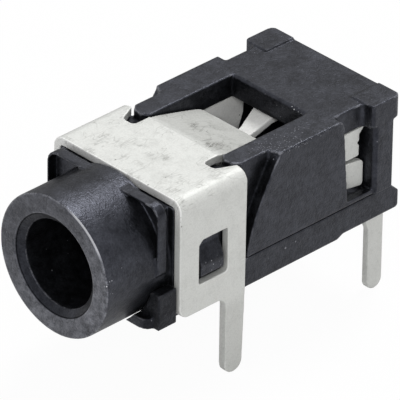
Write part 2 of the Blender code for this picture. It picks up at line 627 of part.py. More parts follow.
# Contacts
def make_tip_contact():
    """Tip contact: a spine and foot in the right wall, an upper tab, a bowed spring and the pin."""
    floor = TRAY_FLOOR + FIT_GAP
    root = PANEL_STEP_Y + CONTACT_SETBACK
    spine = root + TIP_SPINE
    foot_top = BASE_TOP - TIP_FOOT_GAP
    pin = (TIP_PIN_WIDTH - PIN_END_FLAT) / 2
    shoulder = BASE_BOTTOM - TIP_SHOULDER_DROP
    end = POST_FRONT_Y - FIT_GAP
    tab_top = UNDER_ROOF - FIT_GAP
    tab_end = end - TIP_TAB_HOOK
    outline = fillet([(root, floor, 0), (TIP_PIN_FRONT_Y - TIP_SHOULDER, floor, 0),
                      (TIP_PIN_FRONT_Y - TIP_SHOULDER, shoulder, 0),
                      (TIP_PIN_FRONT_Y, shoulder - TIP_SHOULDER_SLOPE, 0),
                      (TIP_PIN_FRONT_Y, PIN_TIP, pin), (TIP_PIN_REAR_Y, PIN_TIP, pin),
                      (TIP_PIN_REAR_Y, foot_top, TIP_CORNER), (spine, foot_top, TIP_CORNER),
                      (spine, TIP_TAB_LOW, TIP_TAB_CORNER), (tab_end, TIP_TAB_LOW, TIP_TAB_CORNER),
                      (tab_end, TIP_TAB_NOTCH_Z - TIP_TAB_NOTCH, 0),
                      (tab_end - TIP_TAB_NOTCH, TIP_TAB_NOTCH_Z, 0),
                      (tab_end, TIP_TAB_NOTCH_Z + TIP_TAB_NOTCH, 0),
                      (tab_end, tab_top - TIP_TAB_HOOK, TIP_TAB_CORNER), (end, tab_top, 0),
                      (root, tab_top, TIP_CORNER)])
    contact = prism(outline, "x", TIP_PLATE_X - STRIP, TIP_PLATE_X, "tip_contact")

    # Spring: bows in to meet the plug's tip and comes back with a free end that flares outwards
    apex = root + TIP_SPRING_APEX
    bowed = TIP_PLATE_X - TIP_SPRING_BOW
    crest = bowed + TIP_SPRING_CREST_DROP
    outside = [(TIP_PLATE_X, root + OVERLAP), (TIP_PLATE_X, root + TIP_SPRING_LEAD),
               (crest, apex - TIP_SPRING_CREST), (bowed, apex), (crest, apex + TIP_SPRING_CREST),
               (TIP_PLATE_X - TIP_SPRING_FLARE, end - TIP_SPRING_END), (TIP_PLATE_X, end)]
    spring = prism(ribbon(outside[::-1], STRIP), "z", TIP_SPRING_LOW, TIP_SPRING_TOP)
    blade = fillet([(root, TIP_SPRING_LOW, 0), (end, TIP_SPRING_LOW, TIP_SPRING_CORNER),
                    (end, TIP_SPRING_TOP, TIP_SPRING_CORNER), (root, TIP_SPRING_TOP, 0)])
    keep(spring, prism(blade, "x", 0, BODY_SIDE))
    add(contact, spring)
    return contact


def make_ring_contact():
    """Ring contact: a plate on the left with its pin, a bridge over the plug and a cranked leaf."""
    outside = RING_PLATE_X - STRIP
    floor = TRAY_FLOOR + FIT_GAP
    crown = TONGUE_UNDERSIDE - FIT_GAP
    bridge_front = RING_PIN_FRONT_Y - RING_BRIDGE + OVERLAP
    bridge_rear = bridge_front + RING_BRIDGE
    plate_rear = RING_PIN_REAR_Y + RING_PLATE_TAIL
    step = plate_rear - RING_PLATE_STEP
    pin = (RING_PIN_WIDTH - PIN_END_FLAT) / 2
    outline = fillet([(bridge_front, floor, 0), (RING_PIN_FRONT_Y, floor, 0),
                      (RING_PIN_FRONT_Y, PIN_TIP, pin), (RING_PIN_REAR_Y, PIN_TIP, pin),
                      (RING_PIN_REAR_Y, floor, 0), (step, floor, 0),
                      (step, RING_PLATE_STEP_LOW, RING_PLATE_CORNER),
                      (plate_rear, RING_PLATE_STEP_TOP, RING_PLATE_CORNER), (plate_rear, crown, 0),
                      (bridge_front, crown, 0)])
    contact = prism(outline, "x", outside, RING_PLATE_X, "ring_contact")

    # Bridge folded over the plug, and the leaf that dips to the plug's ring and rises to the rear
    right = FIT_GAP
    add(contact, box((outside, right), (bridge_front, bridge_rear), (crown - STRIP, crown)))
    dip = crown - RING_LEAF_DIP
    rise = crown + FIT_GAP
    start = bridge_rear - RING_LEAF_ROOT
    level = bridge_rear + RING_LEAF_RISE
    end = bridge_rear + RING_LEAF_LENGTH
    path = [(start, crown), (bridge_rear + RING_LEAF_BEND, crown), (bridge_rear + RING_LEAF_DIP_FRONT, dip),
            (bridge_rear + RING_LEAF_DIP_REAR, dip), (level, rise), (end, rise)]
    narrow = right - RING_LEAF_NARROW
    wide = right - RING_LEAF_WIDE
    leaf = prism(ribbon(path, STRIP), "x", wide, right)
    taper = [(narrow, start), (right, start), (right, end), (wide, end), (wide, level),
             (narrow, bridge_rear + RING_LEAF_TAPER)]
    keep(leaf, prism(taper, "z", 0, BODY_TOP))
    add(contact, leaf)
    return contact


# Placing and finish
def place(item, origin, material):
    """Move the piece from its drawing datum to the seat frame and give it its origin and material."""
    shift = [value * MM for value in origin]
    for vert in item.data.vertices:
        vert.co.x -= shift[0]
        vert.co.y -= shift[1]
        vert.co.z -= shift[2]
    item.location = (shift[0], shift[1] - FRAME_Y * MM, shift[2] + AXIS_HEIGHT * MM)
    item.data.materials.clear()
    item.data.materials.append(material)
    item.data.shade_smooth()
    item.data.set_sharp_from_angle(angle=math.radians(30))


def make_material(name, colour, roughness, metallic):
    """Make one plain Principled finish."""
    material = bpy.data.materials.new(name)
    material.use_nodes = True
    shader = material.node_tree.nodes["Principled BSDF"]
    shader.inputs["Base Color"].default_value = (*colour, 1.0)
    shader.inputs["Roughness"].default_value = roughness
    shader.inputs["Metallic"].default_value = metallic
    return material


def main():
    for item in list(bpy.data.objects):
        bpy.data.objects.remove(item, do_unlink=True)

    black = (0.009, 0.0095, 0.011)
    tin = (0.72, 0.71, 0.68)
    pieces = [
        (make_housing, (0, 0, 0), make_material("housing_moulding", black, 0.5, 0.0)),
        (make_base_cover, (0, 0, BASE_BOTTOM), make_material("base_moulding", black, 0.55, 0.0)),
        (make_ground_yoke, (0, YOKE_FRONT_Y, BODY_TOP), make_material("tinned_yoke", tin, 0.42, 1.0)),
        (make_tip_contact, (TIP_PLATE_X, TIP_PIN_FRONT_Y, BASE_BOTTOM),
         make_material("tinned_tip", tin, 0.38, 1.0)),
        (make_ring_contact, (RING_PLATE_X, RING_PIN_FRONT_Y, BASE_BOTTOM),
         make_material("tinned_ring", tin, 0.38, 1.0)),
    ]

    # Everything is carried by one empty on the seat plane
    seat = bpy.data.objects.new("seat", None)
    bpy.context.scene.collection.objects.link(seat)
    for make, origin, material in pieces:
        item = make()
        place(item, origin, material)
        item.parent = seat


main()
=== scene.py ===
import json
import math

import bpy
import numpy as np
from bpy.props import FloatProperty, FloatVectorProperty, IntProperty, PointerProperty
from mathutils import Matrix, Vector

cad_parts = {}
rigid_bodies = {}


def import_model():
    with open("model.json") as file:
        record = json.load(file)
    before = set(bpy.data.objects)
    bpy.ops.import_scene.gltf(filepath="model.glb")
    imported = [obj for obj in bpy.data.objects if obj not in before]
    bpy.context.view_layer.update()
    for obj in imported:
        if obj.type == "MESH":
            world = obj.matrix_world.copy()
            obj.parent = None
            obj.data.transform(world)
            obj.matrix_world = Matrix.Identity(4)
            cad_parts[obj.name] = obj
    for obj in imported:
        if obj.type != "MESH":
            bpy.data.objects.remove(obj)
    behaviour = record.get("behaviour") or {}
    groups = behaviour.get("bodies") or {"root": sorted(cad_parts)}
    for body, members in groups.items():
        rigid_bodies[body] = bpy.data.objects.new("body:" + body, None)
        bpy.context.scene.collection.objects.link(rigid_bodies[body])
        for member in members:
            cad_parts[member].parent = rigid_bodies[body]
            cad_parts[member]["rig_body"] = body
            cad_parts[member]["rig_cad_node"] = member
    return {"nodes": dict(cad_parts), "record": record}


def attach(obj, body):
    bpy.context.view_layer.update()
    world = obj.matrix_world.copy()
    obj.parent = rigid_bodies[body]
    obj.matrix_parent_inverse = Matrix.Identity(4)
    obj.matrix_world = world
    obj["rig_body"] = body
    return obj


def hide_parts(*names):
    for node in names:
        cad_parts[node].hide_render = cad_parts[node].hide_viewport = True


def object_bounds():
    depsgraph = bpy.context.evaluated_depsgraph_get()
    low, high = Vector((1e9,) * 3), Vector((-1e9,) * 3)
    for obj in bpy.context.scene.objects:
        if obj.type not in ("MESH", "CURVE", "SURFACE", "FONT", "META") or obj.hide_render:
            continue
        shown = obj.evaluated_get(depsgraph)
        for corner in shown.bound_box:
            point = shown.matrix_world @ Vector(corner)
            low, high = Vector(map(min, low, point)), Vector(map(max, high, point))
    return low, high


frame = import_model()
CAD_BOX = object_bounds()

bl_info = {
    "name": "Audio Jack Socket",
    "version": (1, 0, 0),
    "blender": (4, 5, 0),
    "location": "3D View > Sidebar > Jack Socket",
    "description": "Moulded plastic and tinned sheet for a right-angle audio jack socket, with its studio",
    "category": "Object",
}

BODY = "root"

# Places and sizes on the socket, in metres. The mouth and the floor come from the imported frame
MOUNTS = {mount["name"]: mount for mount in frame["record"]["mounts"]}
NOSE = Vector(MOUNTS["barrel_nose"]["pos_m"])
MOUTH = Vector((0, NOSE.y, NOSE.z))
MOUTH_RADIUS = 0.00217
BARREL_RADIUS = 0.003
BARREL_LENGTH = 0.0026
PIN_TOP = 0.0
TONGUE_ROOT = 0.0005
FLOOR_Z = CAD_BOX[0].z

# Meshes: triangles of each piece, the least share of them that a sound piece keeps, and its edges
HOUSING_TRIANGLES = 150000
BASE_TRIANGLES = 70000
YOKE_TRIANGLES = 80000
CONTACT_TRIANGLES = 25000
LEAST_SHARE = 0.25
EDGE_RADIUS = 0.00008
MERGE_DISTANCE = 0.000001
SHORTEST_EDGE = 0.0000001
EDGE_ATTRIBUTE = "edge_curve"

# Zones round the mouth. Each pair is the band over which a mask or the painted light and shade changes,
# as a radius round the bore's axis or a depth behind the mouth
FACE_RING = (MOUTH_RADIUS - 0.00002, MOUTH_RADIUS + 0.00002)
FACE_DEPTH = (0.00003, 0.00007)
STEP_RING = (MOUTH_RADIUS - 0.00005, MOUTH_RADIUS - 0.00003)
STEP_DEPTH = (0.00007, 0.00010)
EDGE_RING = (BARREL_RADIUS - 0.00009, BARREL_RADIUS - 0.00005)
EDGE_DEPTH = (0.00007, 0.00011)
GLINT_RING = (BARREL_RADIUS - 0.00008, BARREL_RADIUS - 0.00004)
GLINT_DEPTH = (0.00006, 0.00009)
LINING_DEPTH = (0.0002, 0.0009)
BARREL_FALL = (0.0002, BARREL_LENGTH)
BARREL_END = (BARREL_LENGTH - 0.0002, BARREL_LENGTH)

# Where on the front edge the painted glint lies, and how painted light grows across the face towards its
# lower right
GLINT_DIRECTION = Vector((0.62, 0.0, 0.785))
GLINT_REACH = (0.0026, 0.00288)
GLINT_STRENGTH = 1.3
FACE_REACH = (-0.0026, 0.0026)
FACE_PAINTED_LIGHT = (0.6, 1.35)

# Painted shade and light: shares of the reflected light left along the bore's lining, on its step as a
# painted shadow line, and along the barrel, brighter at its front
LINING_LIGHT = (0.62, 0.3)
STEP_LIGHT = 0.2
BARREL_LIGHT = (1.15, 0.75)

# The sunk web between the yoke's leg and the side panel, whose front edge leans back by this slant, and the
# share of its reflected light that painted shade leaves
PANEL_SLANT = 0.576
WEB_INNER = (0.00285, 0.00290)
WEB_OUTER = (0.00336, 0.00342)
WEB_FRONT = (-0.0016, -0.0010)
WEB_REAR = (0.0023, 0.0026)
WEB_TOP = (0.0049, 0.0052)
WEB_LIGHT = 0.25

# The socket's top and the part in front of the flange wear most; the rest has a share of that wear
TOP_BAND = (0.0046, 0.0051)
FLANGE_FRONT = (-0.0038, -0.0036)
LOW_WEAR = 0.3

# Scuffed places: centre, radii, spacing of the crumbs and strength; the strongest crumbs turn pale, partly
# as a painted glint
HOUSING_SCUFFS = (
    ((0.00297, -0.00602, 0.00270), (0.00038, 0.00032, 0.00038), 0.00010, 2.0),
    ((0.00160, 0.00522, 0.00530), (0.00070, 0.00013, 0.00012), 0.00008, 2.0),
    ((0.00334, 0.00230, 0.00505), (0.00016, 0.00016, 0.00016), 0.00010, 2.0),
    ((0.00349, -0.00120, 0.00180), (0.00070, 0.00070, 0.00045), 0.00008, 1.5),
    ((0.00275, 0.00290, 0.00535), (0.00065, 0.00220, 0.00010), 0.00007, 0.75),
    ((0.00338, 0.00370, 0.00528), (0.00018, 0.00200, 0.00015), 0.00007, 1.2),
)
BASE_SCUFFS = (
    ((0.00342, 0.00300, 0.00085), (0.00030, 0.00160, 0.00030), 0.00015, 0.9),
)

# Places with painted shade, which dims their reflected light, and with less wear: centre, half sizes, share
# of the light left, share of the wear
HOUSING_SHADES = (
    ((0.0, 0.0029, 0.00475), (0.0022, 0.0025, 0.00056), 0.6, 1.0),
    ((0.0, 0.0069, 0.0054), (0.0036, 0.0017, 0.0002), 0.86, 1.0),
    ((-0.0029, 0.0076, 0.0054), (0.0014, 0.0011, 0.0003), 1.0, 0.15),
    ((-0.00233, 0.0076, 0.00541), (0.00010, 0.0011, 0.00006), 0.5, 1.0),
    ((0.0031, -0.00307, 0.0022), (0.0005, 0.00017, 0.0028), 0.35, 0.3),
    ((0.00345, -0.00115, 0.0028), (0.0003, 0.0009, 0.0009), 0.55, 0.5),
    ((0.0, -0.0034, 0.0024), (0.0036, 0.0003, 0.0034), 1.0, 0.5),
    ((0.00254, -0.00343, 0.0038), (0.00054, 0.00023, 0.00125), 0.55, 0.3),
    ((-0.0031, -0.0036, 0.0035), (0.0003, 0.0002, 0.0018), 0.6, 0.3),
)
BASE_SHADES = (
    ((0.0, -0.0036, 0.0006), (0.0040, 0.0007, 0.0012), 0.45, 0.2),
    ((0.0, 0.0034, 0.0006), (0.0040, 0.0062, 0.0012), 0.88, 1.0),
)

# Burrs along the yoke's front edge: centre, radii
BURRS = (
    ((0.00130, -0.00293, 0.00532), (0.00070, 0.00022, 0.00012)),
    ((-0.00190, -0.00293, 0.00530), (0.00035, 0.00016, 0.00010)),
    ((0.00353, -0.00293, 0.00450), (0.00010, 0.00012, 0.00050)),
)
BURR_SPACING = 0.00011

# The yoke's cut front edge: depth behind its foremost point, and height over which its painted light grows
CUT_DEPTH = (0.00003, 0.00007)
CUT_HEIGHT = (0.0040, 0.0050)

# Tin: how dull each mark and place leaves it, from 0 for clean, and how much of it rubbing takes off
SMUDGE_DULLNESS = 0.20
SCRATCH_DULLNESS = 0.85
PIT_DULLNESS = 0.9
FROST_DULLNESS = 0.12
PIN_DARKENING = 0.12
TONGUE_DULLNESS = 0.25
RUBBED_SHINE = 0.3

# Tin: how bright worn bends are, partly as a painted highlight, and the painted light on the cut edge, from
# 0 for plain tin
BEND_WEAR_AND_HIGHLIGHT = 0.25
CUT_PAINTED_LIGHT = 0.7
LOW_CUT_PAINTED_LIGHT = 0.1

# Tin: distances over which the pins turn darker and rougher below the seat plane, the tongue turns duller
# and the scratches on the tongue stronger, and the shares of the scratches below the top and from the plate
# to the tongue
PIN_FADE = 0.0006
TONGUE_FADE = 0.0005
SCRATCH_FADE = 0.0004
LOW_SCRATCHES = 0.25
TONGUE_SCRATCHES = (0.9, 1.25)

# Fine hair lines in the tin: turns about x and z, stretch, width, spread and strength.
# The first three sets are long scratches, and the last two are short curls, wide spread and faint
HAIR_LINES = (
    (0.2, 0.35, 14.0, 0.042, 0.0, 0.8),
    (-0.5, 1.75, 14.0, 0.042, 0.0, 0.8),
    (0.9, 2.75, 14.0, 0.042, 0.0, 0.8),
    (0.4, 0.9, 3.0, 0.02, 0.16, 0.4),
    (-0.3, 2.2, 2.6, 0.02, 0.16, 0.4),
)

# Frequencies of the tin's frost and of its faint peel, in waves to the metre, and the peel's height
FROST_SCALE = 15000.0
PEEL_SCALE = 9000.0
PEEL_DEPTH = 0.0000025

# Plastic: spans in which nearly all values of the grain's height and of its slow tone lie,
# and the shares of the colour and of the sheen that their ends give
GRAIN_SPAN = (0.36, 0.64)
GRAIN_COLOUR = (0.4, 1.8)
GRAIN_SHEEN = (0.38, 0.59)
TONE_SPAN = (0.3, 0.7)
TONE_COLOUR = (0.6, 1.5)
TONE_SHEEN = (0.76, 1.22)

# Plastic: how far its roughness swings, what polish takes off and wear adds, and the dust's strength
ROUGHNESS_SWING = 0.06
EDGE_POLISH = 0.2
WORN_ROUGHNESS = 0.2
DUST_STRENGTH = 0.6
CRUMB_GLINT_SPAN = (1.0, 1.8)

# Studio: floor, lamps, and the dark flag that only reflections see
FLOOR_SIZE = 1.2
WHITE_TO_CAMERA = 0.96
WHITE_IN_REFLECTIONS = 0.3
LAMP_DISTANCE = 0.5
LAMP_SIZE = 0.17
KEY_DIRECTION = Vector((-0.16, 0.45, 0.88))
FRONT_DIRECTION = Vector((0.60, -0.58, 0.60))
FLAG_DIRECTION = Vector((-0.8, 0.6, 0.0))
FLAG_EDGE = (0.80, 0.97)
FLAG_START = (0.010, 0.018)

# The camera's aim: a point in the flange on the bore's axis, and from there across and up the picture
AIM_START = MOUTH + Vector((0, 0.0029, 0))
AIM_ACROSS = 0.0034946
AIM_UP = 0.0014880
NEAR_CLIP = 0.001


# Settings that a user would change

class MouldingSettings(bpy.types.PropertyGroup):
    """Black moulded plastic of the housing and the base cover"""

    colour: FloatVectorProperty(
        name="Colour", description="Colour of the black plastic", subtype="COLOR",
        size=3, min=0, max=1, default=(0.0045, 0.0048, 0.0055))
    # This colour is also the painted highlight on ridges and the painted glint on the barrel's front edge
    wear_and_highlight_colour: FloatVectorProperty(
        name="Worn colour", description="Colour of dust specks and rubbed edges", subtype="COLOR",
        size=3, min=0, max=1, default=(0.26, 0.265, 0.29))
    # The palest crumbs are partly a painted glint
    crumb_glint_colour: FloatVectorProperty(
        name="Crumb colour", description="Colour of the palest crumbs in scuffed places", subtype="COLOR",
        size=3, min=0, max=1, default=(0.9, 0.9, 0.9))
    # The ring round the mouth has a lighter colour, and painted light towards its lower right is laid on it
    face_colour: FloatVectorProperty(
        name="Face colour", description="Colour of the dusty ring round the mouth", subtype="COLOR",
        size=3, min=0, max=1, default=(0.052, 0.053, 0.058))
    sheen_colour: FloatVectorProperty(
        name="Sheen colour", description="Tint of the light that the black plastic reflects",
        subtype="COLOR", size=3, min=0, max=1, default=(0.76, 0.80, 1.0))
    roughness: FloatProperty(
        name="Roughness", description="Mean roughness of the moulded surface", subtype="FACTOR",
        min=0, max=1, default=0.36)
    grain_size: FloatProperty(
        name="Grain size", description="Width of one grain of the mould's texture", subtype="DISTANCE",
        unit="LENGTH", min=0.00001, default=0.00008)
    grain_depth: FloatProperty(
        name="Grain depth", description="Height of the mould's texture", subtype="DISTANCE",
        unit="LENGTH", min=0, default=0.000032)
    voxel: FloatProperty(
        name="Voxel", description="Step of the fine mesh that the edges are rounded on",
        subtype="DISTANCE", unit="LENGTH", min=0.00002, default=0.00004)
    rounding: IntProperty(
        name="Rounding", description="Smoothing passes that round the moulded edges",
        min=0, default=5)


class SheetSettings(bpy.types.PropertyGroup):
    """Tinned sheet of the yoke and the two contacts"""

    colour: FloatVectorProperty(
        name="Colour", description="Colour of clean tin plate", subtype="COLOR",
        size=3, min=0, max=1, default=(0.665, 0.672, 0.65))
    # A brighter tin for the ring contact, as painted light inside the window
    lit_tin_colour: FloatVectorProperty(
        name="Bright colour", description="Colour of the ring contact's brighter tin", subtype="COLOR",
        size=3, min=0, max=1, default=(0.94, 0.94, 0.92))
    dull_colour: FloatVectorProperty(
        name="Dull colour", description="Colour of smudges and scratches", subtype="COLOR",
        size=3, min=0, max=1, default=(0.20, 0.20, 0.185))
    # This colour is the painted light on the cut front edge and on worn bends
    lit_edge_colour: FloatVectorProperty(
        name="Cut colour", description="Colour of the cut front edge and of rubbed bends", subtype="COLOR",
        size=3, min=0, max=1, default=(0.86, 0.86, 0.85))
    metallic: FloatProperty(
        name="Metallic", description="How metallic the matte tin is", subtype="FACTOR",
        min=0, max=1, default=0.5)
    roughness: FloatProperty(
        name="Roughness", description="Mean roughness of the tin", subtype="FACTOR",
        min=0, max=1, default=0.64)
    voxel: FloatProperty(
        name="Voxel", description="Step of the fine mesh that the edges are rounded on",
        subtype="DISTANCE", unit="LENGTH", min=0.00001, default=0.00003)
    rounding: IntProperty(
        name="Rounding", description="Smoothing passes that round the sheet's edges",
        min=0, default=5)


class StudioSettings(bpy.types.PropertyGroup):
    """Floor, light and camera"""

    azimuth: FloatProperty(
        name="Azimuth", description="Angle of the camera round the socket", subtype="ANGLE",
        unit="ROTATION", default=math.radians(45.6009))
    elevation: FloatProperty(
        name="Elevation", description="Angle of the camera above the board", subtype="ANGLE",
        unit="ROTATION", default=math.radians(31.8071))
    roll: FloatProperty(
        name="Roll", description="Tilt of the camera about its own line of sight", subtype="ANGLE",
        unit="ROTATION", default=math.radians(0.7920))
    distance: FloatProperty(
        name="Distance", description="Distance of the camera from the socket", subtype="DISTANCE",
        unit="LENGTH", min=0.05, default=0.25699)
    lens: FloatProperty(
        name="Lens", description="Focal length in millimetres on a 36 mm wide picture",
        subtype="DISTANCE_CAMERA", unit="CAMERA", min=1, default=603.648)
    sky: FloatProperty(
        name="Sky", description="Strength of the even light from all round", min=0, default=0.42)
    key: FloatProperty(
        name="Key lamp", description="Light that the lamp above puts on a white card facing it",
        min=0, default=0.48)
    front: FloatProperty(
        name="Front lamp", description="Light that the lamp behind the camera puts on a card facing it",
        min=0, default=0.32)
    flag_shade: FloatProperty(
        name="Flag", description="Strength of reflections of the dark flag behind the socket on its left",
        min=0, max=1, default=0.35)
    floor_colour: FloatVectorProperty(
        name="Floor colour", description="Colour of the floor", subtype="COLOR",
        size=3, min=0, max=1, default=(0.93, 0.93, 0.93))


# Tools for meshes

def pick_only(piece):
    """Selects one object and makes it the active one."""
    bpy.ops.object.select_all(action="DESELECT")
    piece.select_set(True)
    bpy.context.view_layer.objects.active = piece


def copy_of_node(node, name):
    """Copies a CAD node's mesh into a new piece, with its loose triangles merged into closed walls."""
    pick_only(frame["nodes"][node])
    bpy.ops.object.duplicate()
    piece = bpy.context.active_object
    piece.name = name
    piece.data.name = name
    piece.parent = None
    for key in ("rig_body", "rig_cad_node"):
        del piece[key]
    bpy.ops.object.mode_set(mode="EDIT")
    bpy.ops.mesh.select_all(action="SELECT")
    bpy.ops.mesh.remove_doubles(threshold=MERGE_DISTANCE)
    bpy.ops.object.mode_set(mode="OBJECT")
    return piece


def apply_modifier(piece, kind, **settings):
    """Adds a modifier with these settings to the active piece and applies it."""
    bpy.ops.object.modifier_add(type=kind)
    modifier = piece.modifiers[-1]
    for key, value in settings.items():
        setattr(modifier, key, value)
    bpy.ops.object.modifier_apply(modifier=modifier.name)


def triangle_count(piece):
    return sum(len(face.vertices) - 2 for face in piece.data.polygons)


def round_edges(piece, voxel, rounding, triangles):
    """Rounds every edge as moulding or blanking leaves it, then thins the mesh where it is flat."""
    pick_only(piece)
    apply_modifier(piece, "REMESH", mode="VOXEL", voxel_size=voxel)
    apply_modifier(piece, "SMOOTH", factor=0.5, iterations=rounding)
    apply_modifier(piece, "DECIMATE", ratio=min(1, triangles / triangle_count(piece)))
    bpy.ops.object.shade_smooth()
    apply_modifier(piece, "WEIGHTED_NORMAL", mode="FACE_AREA", keep_sharp=True)
    if triangle_count(piece) < triangles * LEAST_SHARE:
        raise RuntimeError(f"{piece.name} lost its surface when its edges were rounded")


def mark_edges(piece):
    """Stores how sharply the surface turns at each point: 1 on a rounded ridge, -1 in such a groove."""
    mesh = piece.data
    points = np.empty(len(mesh.vertices) * 3, np.float32)
    normals = np.empty(len(mesh.vertices) * 3, np.float32)
    ends = np.empty(len(mesh.edges) * 2, np.int32)
    mesh.vertices.foreach_get("co", points)
    mesh.vertices.foreach_get("normal", normals)
    mesh.edges.foreach_get("vertices", ends)
    points = points.reshape(-1, 3)
    normals = normals.reshape(-1, 3)
    first, second = ends.reshape(-1, 2).T
    step = points[second] - points[first]
    turn = np.einsum("ij,ij->i", normals[second] - normals[first], step)
    turn /= np.maximum(np.einsum("ij,ij->i", step, step), SHORTEST_EDGE ** 2)
    total = np.zeros(len(points))
    count = np.zeros(len(points))
    for end in (first, second):
        np.add.at(total, end, turn)
        np.add.at(count, end, 1)
    curve = np.clip(total / np.maximum(count, 1) * EDGE_RADIUS, -1, 1)
    attribute = mesh.attributes.new(EDGE_ATTRIBUTE, "FLOAT", "POINT")
    attribute.data.foreach_set("value", curve.astype(np.float32))


def rounded_copy(node, name, settings, triangles):
    """Makes a piece from a CAD node, with rounded edges that the wear can find."""
    piece = copy_of_node(node, name)
    round_edges(piece, settings.voxel, settings.rounding, triangles)
    mark_edges(piece)
    return piece


def settle(piece, node, material):
    """Gives the finished piece its material and puts it in the place of its CAD node."""
    piece.data.materials.clear()
    piece.data.materials.append(material)
    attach(piece, BODY)
    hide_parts(node)


# Tools for node trees

def feed(tree, node, values):
    """Gives a node's inputs, by name or number, plain values or sockets to link from."""
    for key, value in values.items():
        if isinstance(value, bpy.types.NodeSocket):
            tree.links.new(value, node.inputs[key])
        else:
            node.inputs[key].default_value = value


def add_node(tree, kind, values=None, **settings):
    """Adds a node with these settings and feeds its inputs."""
    node = tree.nodes.new(kind)
    for key, value in settings.items():
        setattr(node, key, value)
    feed(tree, node, values or {})
    return node


def maths(tree, operation, first, *others, clamp=False):
    """Joins the values in turn by one operation, such as the product of them all."""
    joined = first
    for other in others:
        node = add_node(tree, "ShaderNodeMath", {0: joined, 1: other}, operation=operation, use_clamp=clamp)
        joined = node.outputs[0]
    return joined


def vector_maths(tree, operation, *vectors):
    """Works on vectors; the outcome of a length or a dot product is a number."""
    node = add_node(tree, "ShaderNodeVectorMath", dict(enumerate(vectors)), operation=operation)
    return node.outputs["Value" if operation in ("LENGTH", "DOT_PRODUCT") else "Vector"]


def scaled(tree, vector, scale):
    """A vector or a colour times a number."""
    node = add_node(tree, "ShaderNodeVectorMath", {0: vector, "Scale": scale}, operation="SCALE")
    return node.outputs[0]


def axes(tree, vector):
    """The x, y and z of a vector."""
    return add_node(tree, "ShaderNodeSeparateXYZ", {0: vector}).outputs


def ramp(tree, value, low, high, to_low=0.0, to_high=1.0, smooth=True):
    """Maps value from low..high to to_low..to_high, clamped."""
    spans = {"Value": value, "From Min": low, "From Max": high, "To Min": to_low, "To Max": to_high}
    kind = "SMOOTHSTEP" if smooth else "LINEAR"
    return add_node(tree, "ShaderNodeMapRange", spans, interpolation_type=kind).outputs["Result"]


def dimmed(tree, value, mask, share):
    """The value, brought down to this share of itself where the mask is full."""
    return maths(tree, "MULTIPLY", value, ramp(tree, mask, 0, 1, 1, share))


def blend_value(tree, mask, first, second):
    """The first number where the mask is 0, the second where it is 1."""
    return add_node(tree, "ShaderNodeMix", {"Factor": mask, "A": first, "B": second}).outputs[0]


def blend_colour(tree, mask, first, second):
    """The first colour where the mask is 0, the second where it is 1."""
    node = add_node(tree, "ShaderNodeMix", {"Factor": mask, 6: first, 7: second}, data_type="RGBA")
    return node.outputs[2]


def noise(tree, vector, scale, detail=2.0, roughness=0.5):
    values = {"Vector": vector, "Scale": scale, "Detail": detail, "Roughness": roughness}
    return add_node(tree, "ShaderNodeTexNoise", values).outputs["Fac"]


def new_group(name, inputs, outputs):
    """A shader node group that puts out numbers. An input without a default is a vector.

    Returns the group, the sockets that hold its inputs, and the node that takes its outputs.
    """
    group = bpy.data.node_groups.new(name, "ShaderNodeTree")
    for label, default in inputs.items():
        kind = "NodeSocketVector" if default is None else "NodeSocketFloat"
        socket = group.interface.new_socket(name=label, in_out="INPUT", socket_type=kind)
        if default is not None:
            socket.default_value = default
    for label in outputs:
        group.interface.new_socket(name=label, in_out="OUTPUT", socket_type="NodeSocketFloat")
    return group, add_node(group, "NodeGroupInput").outputs, add_node(group, "NodeGroupOutput")


# Effects that several materials share

def grain_group():
    """Fine texture of a spark-eroded mould: a height, and a slow change of tone."""
    group, given, result = new_group(
        "moulded grain", {"Vector": None, "Grain": 0.00007}, ("Height", "Tone"))
    scale = maths(group, "DIVIDE", 1.0, given["Grain"])
    fine = noise(group, given["Vector"], scale, roughness=0.6)
    coarse = noise(group, given["Vector"], maths(group, "MULTIPLY", scale, 0.3))
    slow = noise(group, given["Vector"], maths(group, "MULTIPLY", scale, 0.09), detail=4.0, roughness=0.6)
    height = maths(group, "ADD", maths(group, "MULTIPLY", fine, 0.5), maths(group, "MULTIPLY", coarse, 0.5))
    feed(group, result, {"Height": height, "Tone": slow})
    return group


def speck_group():
    """Small separate dots, such as dust, on a share of the cells of a loose grid."""
    group, given, result = new_group(
        "scattered specks", {"Vector": None, "Spacing": 0.0002, "Share": 0.1, "Width": 0.2}, ("Mask",))
    scale = maths(group, "DIVIDE", 1.0, given["Spacing"])
    cells = add_node(group, "ShaderNodeTexVoronoi", {"Vector": given["Vector"], "Scale": scale}).outputs
    chance = add_node(group, "ShaderNodeSeparateColor", {0: cells["Color"]}).outputs
    chosen = maths(group, "LESS_THAN", chance[0], given["Share"])
    size = maths(group, "MULTIPLY", given["Width"], ramp(group, chance[1], 0, 1, 0.4, 1))
    dot = maths(group, "SUBTRACT", 1.0, maths(group, "DIVIDE", cells["Distance"], size), clamp=True)
    feed(group, result, {"Mask": maths(group, "MULTIPLY", chosen, ramp(group, dot, 0, 0.6))})
    return group


def wear_group():
    """Ridges that are worn and carry a painted highlight, broken up so that they come and go along an edge.
    """
    group, given, result = new_group(
        "rubbed edges", {"Vector": None, "Edge": 0.0, "Patch": 0.0006, "Amount": 0.5}, ("Mask",))
    scale = maths(group, "DIVIDE", 1.0, given["Patch"])
    patches = ramp(group, noise(group, given["Vector"], scale, detail=4.0, roughness=0.65), 0.38, 0.62)
    ridge = ramp(group, given["Edge"], 0.12, 0.6)
    feed(group, result, {"Mask": maths(group, "MULTIPLY", ridge, patches, given["Amount"])})
    return group


